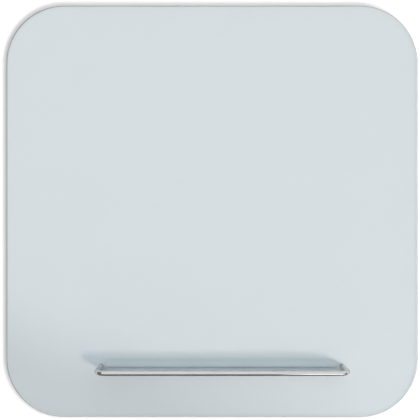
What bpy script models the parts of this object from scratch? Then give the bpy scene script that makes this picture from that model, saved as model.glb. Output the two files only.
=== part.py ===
"""Square glass whiteboard with round corners, hung on hook rails, with a chromed pen tray held by magnets.

The wall is the plane y = 0, and the board stands out from it towards -Y. +X is to the right of
someone who faces the board, and +Z is up. The origin is on the wall, in the middle of the back
of the upper wall rail. Sizes are in metres.
"""

import math

import bmesh
import bpy
from mathutils import Vector

# Gap between pieces that rest on, or are bonded to, each other
SEAT = 0.0003
# How far a cutter runs past the wall that it cuts
OVERRUN = 0.002

# Glass panel: toughened glass with ground and polished edges
BOARD_WIDTH = 1.000
BOARD_HEIGHT = 1.000
CORNER_RADIUS = 0.140
GLASS_THICKNESS = 0.004
GLASS_ARRIS = 0.0008

# White safety film on the back of the glass, and the steel sheet that makes the board magnetic
FILM_THICKNESS = 0.0004
FILM_INSET = 0.0012
SHEET_THICKNESS = 0.0006
SHEET_INSET = 0.018

# Hook rails: one extrusion serves the wall and, turned over, the board
RAIL_END_FROM_EDGE = 0.150
BOARD_RAIL_FROM_EDGE = 0.170
RAIL_WALL = 0.002
RAIL_BASE_HEIGHT = 0.036
RAIL_LEDGE = 0.004
RAIL_LIP = 0.012
RAIL_FILLET = 0.0008
RAIL_TIP_RADIUS = 0.0005
LIP_TO_WALL = 0.0032
LIP_GAP = 0.0006
TAPE_THICKNESS = 0.0008
TAPE_WIDTH = 0.024
TAPE_END_MARGIN = 0.006
TAPE_CORNER_RADIUS = 0.001

# Set screws in the upper board rail, which stand on the wall rail's lip and level the board
LEVELLING_FROM_RAIL_END = 0.100
LEVELLING_LIFT = 0.003
SET_SCREW_DIAMETER = 0.003
SET_SCREW_THREAD_LENGTH = 0.0034
SET_SCREW_POINT_DIAMETER = 0.002
SET_SCREW_CHAMFER = 0.0003
SET_SCREW_SOCKET = 0.0015
SET_SCREW_SOCKET_DEPTH = 0.0018

# Screws and plugs that hold the wall rails
SCREWS_PER_RAIL = 4
WALL_SCREW_FROM_RAIL_END = 0.065
WALL_SCREW_DIAMETER = 0.0045
WALL_SCREW_LENGTH = 0.035
WALL_SCREW_POINT = 0.007
WALL_SCREW_TIP_DIAMETER = 0.0006
WALL_SCREW_HEAD_DIAMETER = 0.0092
WALL_SCREW_HEAD_HEIGHT = 0.0032
WALL_SCREW_CLEARANCE = 0.0004
SCREW_SLOT_LENGTH = 0.012
PLUG_DIAMETER = 0.008
PLUG_DEPTH_IN_WALL = 0.003
PLUG_FLOOR = 0.0015
PLUG_GROOVES = 3
PLUG_GROOVE_DEPTH = 0.0006
PLUG_COLLAR = 0.006

# Rubber bumpers that keep the board parallel to the wall
BUMPER_DIAMETER = 0.026
BUMPER_FACE_DIAMETER = 0.021
BUMPER_BASE_HEIGHT = 0.003
BUMPER_EDGE_RADIUS = 0.0015
BUMPER_FROM_EDGE = 0.100

# Pen tray: a chromed tube bent to a U round a sheet shelf, on a row of magnets
TRAY_WIDTH = 0.600
TRAY_RIGHT_OF_MIDDLE = 0.0235
TRAY_ABOVE_EDGE = 0.1225
TUBE_DIAMETER = 0.012
TUBE_WALL = 0.0011
TUBE_BEND_RADIUS = 0.023
TUBE_REACH = 0.068
SHELF_THICKNESS = 0.0012
SHELF_BELOW_AXIS = 0.0025
SHELF_FOLD_RADIUS = 0.0015
SHELF_FLANGE = 0.016

# Magnets under the shelf, their carrier and the soft facing that touches the glass
MAGNET_COUNT = 8
MAGNET_LENGTH = 0.040
MAGNET_HEIGHT = 0.010
MAGNET_THICKNESS = 0.003
MAGNET_CORNER_RADIUS = 0.0008
CARRIER_END_MARGIN = 0.006
CARRIER_CORNER_RADIUS = 0.002
FACING_THICKNESS = 0.001

# Soft plugs that close the tube's ends and rest on the glass
END_PLUG_THICKNESS = 0.002
END_PLUG_STEM = 0.010
END_PLUG_CHAMFER = 0.0004

# Steps that a curve is divided into
CORNER_STEPS = 28
SMALL_CORNER_STEPS = 4
FILLET_STEPS = 3
BEND_STEPS = 8
TUBE_SIDES = 24
TURNED_SIDES = 20
FIXING_SIDES = 12
HEX_SIDES = 6
# Bevel profile at which a bevelled corner is a circular arc
ARC_PROFILE_SHARE = 0.5
QUARTER = math.pi / 2
CREASE_ANGLE = math.radians(35)

# Turns that lay a turned piece's axis along the wall's normal, or a rail upside down
INTO_WALL = (-QUARTER, 0, 0)
OUT_OF_WALL = (QUARTER, 0, 0)
UPSIDE_DOWN = (math.pi, 0, 0)

# Distances from the wall, outwards, that follow from the sizes above
RAIL_DEPTH = 2 * LIP_TO_WALL + 2 * RAIL_WALL + LIP_GAP
TAPE_BACK = RAIL_DEPTH + SEAT
SHEET_BACK = TAPE_BACK + TAPE_THICKNESS + SEAT
FILM_BACK = SHEET_BACK + SHEET_THICKNESS + SEAT
GLASS_BACK = FILM_BACK + FILM_THICKNESS + SEAT
GLASS_FRONT = GLASS_BACK + GLASS_THICKNESS
SCREW_HEAD_BACK = RAIL_WALL + SEAT
LIP_MIDDLE_OUT = RAIL_DEPTH - LIP_TO_WALL - RAIL_WALL / 2
PLUG_BORE = WALL_SCREW_LENGTH - SCREW_HEAD_BACK - PLUG_DEPTH_IN_WALL + SEAT
PLUG_LENGTH = PLUG_BORE + PLUG_FLOOR

# Lengths along the rails, and heights, that follow from the sizes above
RAIL_LENGTH = BOARD_WIDTH - 2 * RAIL_END_FROM_EDGE
WALL_SCREW_SPACING = (RAIL_LENGTH - 2 * WALL_SCREW_FROM_RAIL_END) / (SCREWS_PER_RAIL - 1)
LEVELLING_FROM_MIDDLE = RAIL_LENGTH / 2 - LEVELLING_FROM_RAIL_END
RAIL_SPACING = BOARD_HEIGHT - 2 * BOARD_RAIL_FROM_EDGE
BOARD_RAIL_ABOVE_WALL_RAIL = RAIL_BASE_HEIGHT + RAIL_LIP + LEVELLING_LIFT
BOARD_MIDDLE = BOARD_RAIL_ABOVE_WALL_RAIL - RAIL_SPACING / 2

# Places inside the tray, from the middle of its tube's axis and outwards from the glass
TUBE_RADIUS = TUBE_DIAMETER / 2
ARM_FROM_MIDDLE = TRAY_WIDTH / 2 - TUBE_RADIUS
FACING_OUT = SEAT
CARRIER_OUT = FACING_OUT + FACING_THICKNESS + SEAT
FLANGE_OUT = CARRIER_OUT + MAGNET_THICKNESS + SEAT
TUBE_END_OUT = SEAT + END_PLUG_THICKNESS + SEAT
TUBE_HALF_CHORD = math.sqrt(max(TUBE_RADIUS**2 - SHELF_BELOW_AXIS**2, 0))
SHELF_FROM_TUBE_AXIS = TUBE_HALF_CHORD + SEAT
SHELF_HALF_WIDTH = ARM_FROM_MIDDLE - SHELF_FROM_TUBE_AXIS
SHELF_FRONT_OUT = TUBE_REACH - SHELF_FROM_TUBE_AXIS
FOLD_OUTER_RADIUS = SHELF_FOLD_RADIUS + SHELF_THICKNESS
CARRIER_HEIGHT = SHELF_FLANGE - FOLD_OUTER_RADIUS
CARRIER_WIDTH = 2 * (SHELF_HALF_WIDTH - CARRIER_END_MARGIN)
CARRIER_MIDDLE = -SHELF_BELOW_AXIS - FOLD_OUTER_RADIUS - CARRIER_HEIGHT / 2


def clear_scene():
    """Removes whatever the scene holds."""
    for old in list(bpy.data.objects):
        bpy.data.objects.remove(old, do_unlink=True)


def finish(name, colour, roughness, metallic=0.0, alpha=1.0):
    """A surface finish with one colour."""
    made = bpy.data.materials.new(name)
    made.use_nodes = True
    shader = made.node_tree.nodes["Principled BSDF"]
    shader.inputs["Base Color"].default_value = (*colour, 1.0)
    shader.inputs["Roughness"].default_value = roughness
    shader.inputs["Metallic"].default_value = metallic
    shader.inputs["Alpha"].default_value = alpha
    return made


def frame_point(name, location, parent=None):
    """An empty that carries the pieces of one body, standing at that body's own zero."""
    point = bpy.data.objects.new(name, None)
    bpy.context.scene.collection.objects.link(point)
    point.parent = parent
    point.location = location
    return point


def solid(name, mesh, material):
    """Closes a bmesh into mesh data with its faces out, shaded smooth between its creases."""
    bmesh.ops.recalc_face_normals(mesh, faces=mesh.faces)
    data = bpy.data.meshes.new(name)
    mesh.to_mesh(data)
    mesh.free()
    data.materials.append(material)
    data.shade_smooth()
    data.set_sharp_from_angle(angle=CREASE_ANGLE)
    return data


def piece(name, data, parent, location=(0, 0, 0), rotation=(0, 0, 0)):
    """Puts a named object with this mesh data on its body."""
    made = bpy.data.objects.new(name, data)
    bpy.context.scene.collection.objects.link(made)
    made.parent = parent
    made.location = location
    made.rotation_euler = rotation
    return made


def cut(target, name, mesh):
    """Takes a cutter's shape out of a piece; the cutter is placed as the piece is."""
    data = solid(name, mesh, target.data.materials[0])
    cutter = piece(name, data, target.parent, target.location, target.rotation_euler)
    cutter.hide_render = True
    cutter.display_type = "WIRE"
    modifier = target.modifiers.new(name, "BOOLEAN")
    modifier.operation = "DIFFERENCE"
    modifier.object = cutter
    modifier.solver = "EXACT"


def add_rings(mesh, rings):
    """Joins rings of equal point counts into one closed body with flat ends."""
    loops = [[mesh.verts.new(point) for point in ring] for ring in rings]
    for near, far in zip(loops, loops[1:]):
        for here in range(len(near)):
            after = (here + 1) % len(near)
            mesh.faces.new((near[here], near[after], far[after], far[here]))
    mesh.faces.new(loops[0][::-1])
    mesh.faces.new(loops[-1])


def rounded_outline(width, height, radius, steps):
    """Points (x, z) round a rectangle with round corners, centred on zero."""
    points = []
    for corner, (side, level) in enumerate(((1, 1), (-1, 1), (-1, -1), (1, -1))):
        for step in range(steps + 1):
            angle = QUARTER * (corner + step / steps)
            x = side * (width / 2 - radius) + radius * math.cos(angle)
            z = level * (height / 2 - radius) + radius * math.sin(angle)
            points.append((x, z))
    return points


def add_slab(mesh, size, radius, near, far, steps, middle=(0, 0), arris=0.0):
    """A flat body with round corners, from near to far out from the wall, with chamfered edges."""
    width, height = size
    levels = ((near, arris), (near + arris, 0.0), (far - arris, 0.0), (far, arris))
    if not arris:
        levels = ((near, 0.0), (far, 0.0))
    rings = []
    for out, inset in levels:
        outline = rounded_outline(width - 2 * inset, height - 2 * inset, radius - inset, steps)
        rings.append([(middle[0] + x, -out, middle[1] + z) for x, z in outline])
    add_rings(mesh, rings)


def soften(corners, steps):
    """Replaces each corner (y, z, radius) of a closed profile by an arc of that radius."""
    points = []
    for index, (y, z, radius) in enumerate(corners):
        here = Vector((y, z))
        back = (Vector(corners[index - 1][:2]) - here).normalized()
        ahead = (Vector(corners[(index + 1) % len(corners)][:2]) - here).normalized()
        if not radius:
            points.append(here)
            continue
        half = back.angle(ahead) / 2
        centre = here + (back + ahead).normalized() * (radius / math.sin(half))
        start = here + back * (radius / math.tan(half)) - centre
        stop = here + ahead * (radius / math.tan(half)) - centre
        first = math.atan2(start.y, start.x)
        sweep = math.remainder(math.atan2(stop.y, stop.x) - first, math.tau)
        for step in range(steps + 1):
            angle = first + sweep * step / steps
            points.append(centre + radius * Vector((math.cos(angle), math.sin(angle))))
    return points


def add_extrusion(mesh, profile, length):
    """A closed (y, z) profile drawn out along X, centred on zero."""
    ends = (-length / 2, length / 2)
    add_rings(mesh, [[(x, point[0], point[1]) for point in profile] for x in ends])


def add_turned(mesh, profile, sides, at=(0, 0)):
    """A body turned about Z from (radius, height) points, with its axis at a place (x, y)."""
    loops = []
    for radius, height in profile:
        ring = []
        for side in range(sides if radius else 1):
            angle = math.tau * side / sides
            place = (at[0] + radius * math.cos(angle), at[1] + radius * math.sin(angle), height)
            ring.append(mesh.verts.new(place))
        loops.append(ring)
    for near, far in zip(loops, loops[1:]):
        for here in range(sides):
            after = (here + 1) % sides
            corners = [near[here % len(near)], near[after % len(near)]]
            corners += [far[after % len(far)], far[here % len(far)]]
            mesh.faces.new(list(dict.fromkeys(corners)))


def make_glass(board, material):
    """The writing surface, whose edges are ground flat with a small arris."""
    mesh = bmesh.new()
    size = (BOARD_WIDTH, BOARD_HEIGHT)
    add_slab(mesh, size, CORNER_RADIUS, GLASS_BACK, GLASS_FRONT, CORNER_STEPS, arris=GLASS_ARRIS)
    piece("glass_panel", solid("glass_panel", mesh, material), board)


def make_backing(board, name, inset, back, thickness, material):
    """A layer behind the glass with the board's outline, drawn in by an inset."""
    mesh = bmesh.new()
    size = (BOARD_WIDTH - 2 * inset, BOARD_HEIGHT - 2 * inset)
    add_slab(mesh, size, CORNER_RADIUS - inset, back, back + thickness, CORNER_STEPS)
    piece(name, solid(name, mesh, material), board)


def rail_profile():
    """The hook rail's section: a base against the wall, a ledge, and a lip that points up."""
    bottom = -RAIL_BASE_HEIGHT / 2
    top = RAIL_BASE_HEIGHT / 2
    lip_front = -(RAIL_DEPTH - LIP_TO_WALL)
    lip_back = lip_front + RAIL_WALL
    corners = [
        (0, bottom, 0),
        (0, top, RAIL_TIP_RADIUS),
        (lip_back, top, RAIL_FILLET),
        (lip_back, top + RAIL_LIP, RAIL_TIP_RADIUS),
        (lip_front, top + RAIL_LIP, RAIL_TIP_RADIUS),
        (lip_front, top - RAIL_LEDGE, RAIL_TIP_RADIUS),
        (-RAIL_WALL, top - RAIL_LEDGE, RAIL_FILLET),
        (-RAIL_WALL, bottom, RAIL_TIP_RADIUS),
    ]
    return soften(corners, FILLET_STEPS)


def screw_places():
    """How far each wall screw is from the middle of its rail."""
    first = -WALL_SCREW_SPACING * (SCREWS_PER_RAIL - 1) / 2
    return [first + WALL_SCREW_SPACING * index for index in range(SCREWS_PER_RAIL)]


def make_wall_rail(name, wall_mount, height, material):
    """A rail against the wall, with a slot for each wall screw."""
    mesh = bmesh.new()
    add_extrusion(mesh, rail_profile(), RAIL_LENGTH)
    rail = piece(name, solid(name, mesh, material), wall_mount, (0, 0, height))
    slots = bmesh.new()
    width = WALL_SCREW_DIAMETER + 2 * WALL_SCREW_CLEARANCE
    for x in screw_places():
        size = (SCREW_SLOT_LENGTH, width)
        add_slab(slots, size, width / 2, -OVERRUN, RAIL_WALL + OVERRUN, SMALL_CORNER_STEPS, (x, 0))
    cut(rail, name + "_slots", slots)


def make_board_rail(name, board, height, material, holes=()):
    """The same extrusion upside down on the board, with a hole for each set screw."""
    mesh = bmesh.new()
    add_extrusion(mesh, rail_profile(), RAIL_LENGTH)
    rail = piece(name, solid(name, mesh, material), board, (0, -RAIL_DEPTH, height), UPSIDE_DOWN)
    if not holes:
        return
    drills = bmesh.new()
    radius = SET_SCREW_DIAMETER / 2 + SEAT
    low = RAIL_BASE_HEIGHT / 2 - RAIL_LEDGE - OVERRUN
    high = RAIL_BASE_HEIGHT / 2 + OVERRUN
    for x in holes:
        outline = [(0, low), (radius, low), (radius, high), (0, high)]
        add_turned(drills, outline, TURNED_SIDES, (x, LIP_MIDDLE_OUT - RAIL_DEPTH))
    cut(rail, name + "_holes", drills)


def make_tape(name, board, height, material):
    """The foam tape between a board rail and the steel sheet."""
    mesh = bmesh.new()
    size = (RAIL_LENGTH - 2 * TAPE_END_MARGIN, TAPE_WIDTH)
    add_slab(mesh, size, TAPE_CORNER_RADIUS, TAPE_BACK, TAPE_BACK + TAPE_THICKNESS, SMALL_CORNER_STEPS)
    piece(name, solid(name, mesh, material), board, (0, 0, height))


def make_levelling_screw(name, x, board, material):
    """A set screw with a hexagon socket above and a dog point that stands on the wall rail's lip."""
    thread = SET_SCREW_DIAMETER / 2
    point = SET_SCREW_POINT_DIAMETER / 2
    foot = SEAT - LEVELLING_LIFT
    top = SET_SCREW_THREAD_LENGTH
    profile = [
        (0, foot),
        (point, foot),
        (point, 0),
        (thread - SET_SCREW_CHAMFER, 0),
        (thread, SET_SCREW_CHAMFER),
        (thread, top - SET_SCREW_CHAMFER),
        (thread - SET_SCREW_CHAMFER, top),
        (0, top),
    ]
    mesh = bmesh.new()
    add_turned(mesh, profile, TURNED_SIDES)
    place = (x, -LIP_MIDDLE_OUT, RAIL_SPACING / 2 - RAIL_BASE_HEIGHT / 2)
    screw = piece(name, solid(name, mesh, material), board, place)
    socket = bmesh.new()
    corner = SET_SCREW_SOCKET / 2 / math.cos(math.pi / HEX_SIDES)
    floor = top - SET_SCREW_SOCKET_DEPTH
    outline = [(0, floor), (corner, floor), (corner, top + OVERRUN), (0, top + OVERRUN)]
    add_turned(socket, outline, HEX_SIDES)
    cut(screw, name + "_socket", socket)


def make_bumpers(board, material):
    """Tapered rubber bumpers near the board's corners, stuck to the steel sheet and touching the wall."""
    base = BUMPER_DIAMETER / 2
    face = BUMPER_FACE_DIAMETER / 2
    length = SHEET_BACK - SEAT
    rim = face - BUMPER_EDGE_RADIUS
    angles = [QUARTER * step / FILLET_STEPS for step in range(FILLET_STEPS + 1)]
    turn = [(math.sin(angle), 1 - math.cos(angle)) for angle in angles]
    edge = [(rim + BUMPER_EDGE_RADIUS * out, BUMPER_EDGE_RADIUS * up) for out, up in turn]
    profile = [(0, 0)] + edge + [(base, length - BUMPER_BASE_HEIGHT), (base, length), (0, length)]
    mesh = bmesh.new()
    add_turned(mesh, profile, TURNED_SIDES)
    data = solid("bumper", mesh, material)
    for side, side_name in ((-1, "left"), (1, "right")):
        for level, level_name in ((1, "upper"), (-1, "lower")):
            x = side * (BOARD_WIDTH / 2 - BUMPER_FROM_EDGE)
            z = level * (BOARD_HEIGHT / 2 - BUMPER_FROM_EDGE)
            piece("bumper_" + level_name + "_" + side_name, data, board, (x, 0, z), OUT_OF_WALL)


def wall_screw_profile():
    """A domed head on a shank that ends in a point, measured from under the head."""
    head = WALL_SCREW_HEAD_DIAMETER / 2
    shank = WALL_SCREW_DIAMETER / 2
    rim = WALL_SCREW_HEAD_HEIGHT / 2
    angles = [QUARTER * step / FILLET_STEPS for step in range(1, FILLET_STEPS)]
    dome = [(head * math.sin(angle), -rim - rim * math.cos(angle)) for angle in angles]
    body = [
        (head, -rim),
        (head, 0),
        (shank, 0),
        (shank, WALL_SCREW_LENGTH - WALL_SCREW_POINT),
        (WALL_SCREW_TIP_DIAMETER / 2, WALL_SCREW_LENGTH),
        (0, WALL_SCREW_LENGTH),
    ]
    return [(0, -2 * rim)] + dome + body


def plug_profile():
    """A ribbed sleeve with a blind bore for the screw, measured from its mouth."""
    rib = PLUG_DIAMETER / 2
    groove = rib - PLUG_GROOVE_DEPTH
    bore = WALL_SCREW_DIAMETER / 2 + SEAT
    pitch = (PLUG_LENGTH - PLUG_COLLAR) / PLUG_GROOVES
    profile = [(0, PLUG_BORE), (bore, PLUG_BORE), (bore, 0), (rib, 0), (rib, PLUG_COLLAR)]
    for index in range(PLUG_GROOVES):
        start = PLUG_COLLAR + pitch * index
        profile.append((groove, start + PLUG_GROOVE_DEPTH))
        profile.append((rib, start + pitch))
    return profile[:-1] + [(groove, PLUG_LENGTH), (0, PLUG_LENGTH)]


def make_wall_fixings(wall_mount, screw_finish, plug_finish):
    """The screws through both wall rails, each in a plug set below the wall's surface."""
    turned = bmesh.new()
    add_turned(turned, wall_screw_profile(), FIXING_SIDES)
    screw = solid("wall_screw", turned, screw_finish)
    turned = bmesh.new()
    add_turned(turned, plug_profile(), FIXING_SIDES)
    plug = solid("wall_plug", turned, plug_finish)
    for level_name, height in (("upper", 0), ("lower", -RAIL_SPACING)):
        for index, x in enumerate(screw_places(), 1):
            number = level_name + "_" + str(index)
            piece("wall_screw_" + number, screw, wall_mount, (x, -SCREW_HEAD_BACK, height), INTO_WALL)
            piece("wall_plug_" + number, plug, wall_mount, (x, PLUG_DEPTH_IN_WALL, height), INTO_WALL)


def tube_path():
    """Points and directions along the tube's axis, from the left end round to the right end."""
    bend_side = ARM_FROM_MIDDLE - TUBE_BEND_RADIUS
    bend_out = TUBE_REACH - TUBE_BEND_RADIUS
    stations = [((-ARM_FROM_MIDDLE, -TUBE_END_OUT), -QUARTER)]
    for side, first in ((-1, -2 * QUARTER), (1, -QUARTER)):
        for step in range(BEND_STEPS + 1):
            angle = first + QUARTER * step / BEND_STEPS
            x = side * bend_side + TUBE_BEND_RADIUS * math.cos(angle)
            y = -bend_out + TUBE_BEND_RADIUS * math.sin(angle)
            stations.append(((x, y), angle + QUARTER))
    stations.append(((ARM_FROM_MIDDLE, -TUBE_END_OUT), QUARTER))
    return stations


def tube_rings(radius):
    """Circles of one radius round the tube's axis, one at each station of its path."""
    rings = []
    for (x, y), heading in tube_path():
        ring = []
        for side in range(TUBE_SIDES):
            angle = math.tau * side / TUBE_SIDES
            across = radius * math.cos(angle)
            rise = radius * math.sin(angle)
            ring.append((x - across * math.sin(heading), y + across * math.cos(heading), rise))
        rings.append(ring)
    return rings


def make_tube(tray, material):
    """The chromed tube, open at both ends for its plugs."""
    mesh = bmesh.new()
    walls = []
    for radius in (TUBE_RADIUS, TUBE_RADIUS - TUBE_WALL):
        loops = [[mesh.verts.new(point) for point in ring] for ring in tube_rings(radius)]
        walls.append(loops)
        for near, far in zip(loops, loops[1:]):
            for here in range(TUBE_SIDES):
                after = (here + 1) % TUBE_SIDES
                mesh.faces.new((near[here], near[after], far[after], far[here]))
    for end in (0, -1):
        outer, inner = walls[0][end], walls[1][end]
        for here in range(TUBE_SIDES):
            after = (here + 1) % TUBE_SIDES
            mesh.faces.new((outer[here], outer[after], inner[after], inner[here]))
    piece("tray_tube", solid("tray_tube", mesh, material), tray)


def make_shelf(tray, material):
    """The sheet between the tube's arms, folded down at the back to carry the magnets."""
    top = -SHELF_BELOW_AXIS
    low = top - SHELF_THICKNESS
    back = -FLANGE_OUT
    front = -SHELF_FRONT_OUT
    foot = top - SHELF_FLANGE
    corners = [
        (back, top, FOLD_OUTER_RADIUS),
        (back, foot, 0),
        (back - SHELF_THICKNESS, foot, 0),
        (back - SHELF_THICKNESS, low, SHELF_FOLD_RADIUS),
        (front, low, 0),
        (front, top, 0),
    ]
    mesh = bmesh.new()
    add_extrusion(mesh, soften(corners, SMALL_CORNER_STEPS), 2 * SHELF_HALF_WIDTH)
    front_corners = [
        edge
        for edge in mesh.edges
        if all(abs(vertex.co.y - front) < SEAT for vertex in edge.verts)
        and abs(edge.verts[0].co.x - edge.verts[1].co.x) < SEAT
    ]
    bmesh.ops.bevel(
        mesh,
        geom=front_corners,
        offset=TUBE_BEND_RADIUS - SHELF_FROM_TUBE_AXIS,
        segments=BEND_STEPS,
        profile=ARC_PROFILE_SHARE,
        affect="EDGES",
    )
    piece("tray_shelf", solid("tray_shelf", mesh, material), tray)


def magnet_places():
    """How far each magnet is from the middle of the tray, spread evenly along the carrier."""
    pitch = CARRIER_WIDTH / MAGNET_COUNT
    return [pitch * (index - (MAGNET_COUNT - 1) / 2) for index in range(MAGNET_COUNT)]


def make_magnet_row(tray, carrier_finish, magnet_finish, facing_finish):
    """A carrier strip with a window round each magnet, and the soft facing over both."""
    size = (CARRIER_WIDTH, CARRIER_HEIGHT)
    middle = (0, CARRIER_MIDDLE)
    far = CARRIER_OUT + MAGNET_THICKNESS
    strip = bmesh.new()
    add_slab(strip, size, CARRIER_CORNER_RADIUS, CARRIER_OUT, far, SMALL_CORNER_STEPS, middle)
    carrier = piece("magnet_carrier", solid("magnet_carrier", strip, carrier_finish), tray)
    windows = bmesh.new()
    window_size = (MAGNET_LENGTH + 2 * SEAT, MAGNET_HEIGHT + 2 * SEAT)
    window_corner = MAGNET_CORNER_RADIUS + SEAT
    for x in magnet_places():
        near, deep = CARRIER_OUT - OVERRUN, far + OVERRUN
        add_slab(windows, window_size, window_corner, near, deep, SMALL_CORNER_STEPS, (x, CARRIER_MIDDLE))
    cut(carrier, "carrier_windows", windows)
    block = bmesh.new()
    size_of_magnet = (MAGNET_LENGTH, MAGNET_HEIGHT)
    add_slab(block, size_of_magnet, MAGNET_CORNER_RADIUS, CARRIER_OUT, far, SMALL_CORNER_STEPS)
    magnet = solid("magnet", block, magnet_finish)
    for index, x in enumerate(magnet_places(), 1):
        piece("magnet_" + str(index), magnet, tray, (x, 0, CARRIER_MIDDLE))
    pad = bmesh.new()
    out = FACING_OUT + FACING_THICKNESS
    add_slab(pad, size, CARRIER_CORNER_RADIUS, FACING_OUT, out, SMALL_CORNER_STEPS, middle)
    piece("magnet_facing", solid("magnet_facing", pad, facing_finish), tray)


def make_end_plugs(tray, material):
    """A soft plug in each end of the tube, with a disc that rests on the glass."""
    disc = TUBE_RADIUS
    stem = TUBE_RADIUS - TUBE_WALL - SEAT
    tip = END_PLUG_THICKNESS + END_PLUG_STEM
    profile = [
        (0, 0),
        (disc - END_PLUG_CHAMFER, 0),
        (disc, END_PLUG_CHAMFER),
        (disc, END_PLUG_THICKNESS),
        (stem, END_PLUG_THICKNESS),
        (stem, tip - END_PLUG_CHAMFER),
        (stem - END_PLUG_CHAMFER, tip),
        (0, tip),
    ]
    mesh = bmesh.new()
    add_turned(mesh, profile, TUBE_SIDES)
    plug = solid("tray_end_plug", mesh, material)
    for side, side_name in ((-1, "left"), (1, "right")):
        place = (side * ARM_FROM_MIDDLE, -SEAT, 0)
        piece("tray_end_plug_" + side_name, plug, tray, place, OUT_OF_WALL)


def make_wall_mount(aluminium):
    """What stays on the wall: two rails with their screws and plugs."""
    zinc = finish("zinc_steel", (0.70, 0.71, 0.72), 0.35, 1.0)
    nylon = finish("nylon", (0.62, 0.64, 0.66), 0.6)
    wall_mount = frame_point("wall_mount", (0, 0, 0))
    make_wall_rail("upper_wall_rail", wall_mount, 0, aluminium)
    make_wall_rail("lower_wall_rail", wall_mount, -RAIL_SPACING, aluminium)
    make_wall_fixings(wall_mount, zinc, nylon)


def make_board(aluminium, rubber):
    """What lifts off the wall: the glass, its backing and rails, the bumpers and the levelling screws."""
    glass = finish("glass", (0.80, 0.87, 0.87), 0.04, alpha=0.35)
    white = finish("white_film", (0.86, 0.88, 0.88), 0.5)
    steel = finish("galvanised_steel", (0.62, 0.64, 0.66), 0.45, 1.0)
    foam = finish("foam_tape", (0.12, 0.12, 0.13), 0.9)
    black_oxide = finish("black_oxide_steel", (0.08, 0.08, 0.085), 0.4, 1.0)
    board = frame_point("board", (0, 0, BOARD_MIDDLE))
    make_glass(board, glass)
    make_backing(board, "white_film", FILM_INSET, FILM_BACK, FILM_THICKNESS, white)
    make_backing(board, "steel_sheet", SHEET_INSET, SHEET_BACK, SHEET_THICKNESS, steel)
    screws_at = (-LEVELLING_FROM_MIDDLE, LEVELLING_FROM_MIDDLE)
    make_board_rail("upper_board_rail", board, RAIL_SPACING / 2, aluminium, screws_at)
    make_board_rail("lower_board_rail", board, -RAIL_SPACING / 2, aluminium)
    make_tape("upper_rail_tape", board, RAIL_SPACING / 2, foam)
    make_tape("lower_rail_tape", board, -RAIL_SPACING / 2, foam)
    make_levelling_screw("levelling_screw_left", screws_at[0], board, black_oxide)
    make_levelling_screw("levelling_screw_right", screws_at[1], board, black_oxide)
    make_bumpers(board, rubber)
    return board


def make_pen_tray(board, rubber):
    """What slides along the glass: the tube, the shelf, the magnets and their facing, and the end plugs."""
    chrome = finish("chrome", (0.80, 0.81, 0.82), 0.06, 1.0)
    satin = finish("satin_steel", (0.66, 0.68, 0.69), 0.25, 1.0)
    plastic = finish("carrier_plastic", (0.10, 0.10, 0.11), 0.7)
    nickel = finish("nickel", (0.72, 0.70, 0.66), 0.2, 1.0)
    place = (TRAY_RIGHT_OF_MIDDLE, -GLASS_FRONT, TRAY_ABOVE_EDGE - BOARD_HEIGHT / 2)
    tray = frame_point("pen_tray", place, board)
    make_tube(tray, chrome)
    make_shelf(tray, satin)
    make_magnet_row(tray, plastic, nickel, rubber)
    make_end_plugs(tray, rubber)


def build():
    """Makes every piece of the board on the body that carries it."""
    clear_scene()
    aluminium = finish("anodised_aluminium", (0.74, 0.75, 0.77), 0.35, 1.0)
    rubber = finish("rubber", (0.06, 0.06, 0.065), 0.85)
    make_wall_mount(aluminium)
    board = make_board(aluminium, rubber)
    make_pen_tray(board, rubber)


build()
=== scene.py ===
# %% [markdown]
# # A glass whiteboard on hook rails
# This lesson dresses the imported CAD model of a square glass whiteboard: a sheet of toughened glass with
# round corners, a white film and a steel sheet behind it, two pairs of aluminium hook rails, and a
# chromed pen tray that magnets hold to the glass. The CAD pieces never move. A piece that is already
# right, such as a rail, only gets a better finish. One that is round or bent is replaced by a smooth
# piece in the same place.
# The wall is the plane y = 0 and the board faces -Y. Every size is in metres.

import math

import bmesh
import bpy
from mathutils import Matrix, Vector


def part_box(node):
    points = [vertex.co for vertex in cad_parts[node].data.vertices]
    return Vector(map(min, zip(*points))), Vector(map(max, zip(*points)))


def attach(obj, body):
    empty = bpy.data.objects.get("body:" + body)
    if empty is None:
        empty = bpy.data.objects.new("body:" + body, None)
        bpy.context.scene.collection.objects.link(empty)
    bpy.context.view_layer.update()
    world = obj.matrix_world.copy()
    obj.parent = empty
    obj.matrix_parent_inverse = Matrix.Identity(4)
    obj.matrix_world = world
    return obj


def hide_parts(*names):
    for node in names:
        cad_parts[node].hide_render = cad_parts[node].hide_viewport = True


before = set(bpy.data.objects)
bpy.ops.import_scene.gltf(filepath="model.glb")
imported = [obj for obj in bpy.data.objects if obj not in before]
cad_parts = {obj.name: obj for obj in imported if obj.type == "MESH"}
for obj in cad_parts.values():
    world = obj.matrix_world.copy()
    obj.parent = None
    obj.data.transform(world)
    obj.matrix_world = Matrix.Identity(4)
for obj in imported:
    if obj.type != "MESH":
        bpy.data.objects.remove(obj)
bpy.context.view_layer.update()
MM = 0.001

# %% [markdown]
# ## The camera
# The photograph is taken straight on and from close by. At 1.32 m the front bar of the tray looks about
# 5 % larger than the same length on the glass, which fits the picture. The camera looks along +Y, and a
# small shift brings the board to the middle of the square picture.

# %% Place the camera
GLASS_FRONT_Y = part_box("glass_panel")[0].y
VIEW_WIDTH = 1.0218
VIEW_MIDDLE = (-0.0052, -0.2758)
CAMERA_DISTANCE = 1.32
CAMERA_PLACE = (0.0, -0.344)
SENSOR = 36.0

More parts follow.
